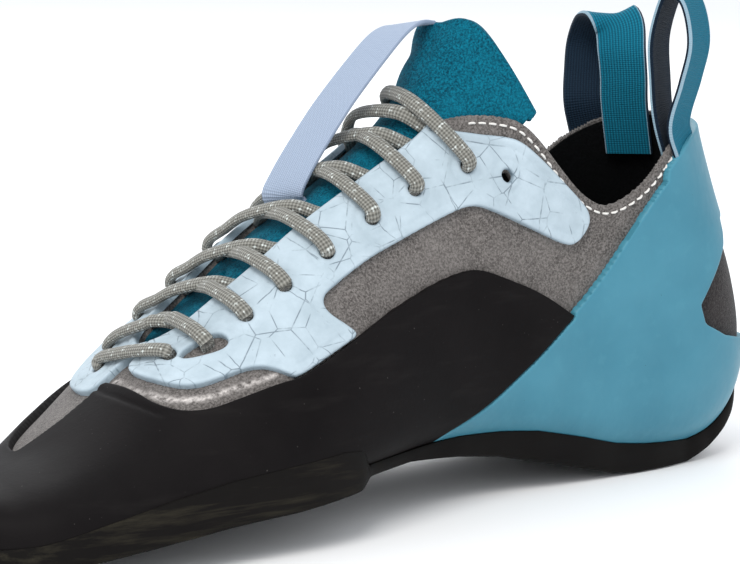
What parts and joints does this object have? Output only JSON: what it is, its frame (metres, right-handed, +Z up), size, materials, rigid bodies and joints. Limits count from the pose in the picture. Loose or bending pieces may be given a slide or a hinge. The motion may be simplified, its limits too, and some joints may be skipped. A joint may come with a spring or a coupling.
{
  "type": "climbing shoe",
  "caption": "Laced rock climbing shoe for the right foot: suede upper with tongue, rubber rands, down-turned sole and pull loops at the heel.",
  "frame": {"origin": "middle of the heel's flat spot on the floor", "axes": "toe towards -X, heel towards +X, inner side of the foot towards -Y, +Z up"},
  "size_m": [0.2336, 0.0848, 0.1206],
  "materials": {
    "suede": "brushed suede",
    "rubber": "smooth rubber, lightly scuffed",
    "teal_rubber": "smooth dyed rubber",
    "microfibre": "pale synthetic leather with a fine web pattern",
    "tongue_suede": "brushed suede",
    "board": "thin lining board",
    "lace": "woven round cord",
    "label": "woven tape",
    "tape": "ribbed webbing"
  },
  "bodies": {
    "root": {"upper": "suede", "outsole": "rubber", "insole": "board", "tongue": "tongue_suede", "side_rand": "rubber", "heel_rand": "teal_rubber", "heel_spine": "rubber", "eyestay_inner": "microfibre", "eyestay_outer": "microfibre", "lace_bar": "lace", "lace_crossing_1": "lace", "lace_crossing_2": "lace", "lace_crossing_3": "lace", "lace_crossing_4": "lace", "lace_crossing_5": "lace", "lace_crossing_6": "lace", "lace_crossing_7": "lace", "tongue_label": "label", "pull_loop_inner": "tape", "pull_loop_outer": "tape"}
  },
  "joints": []
}
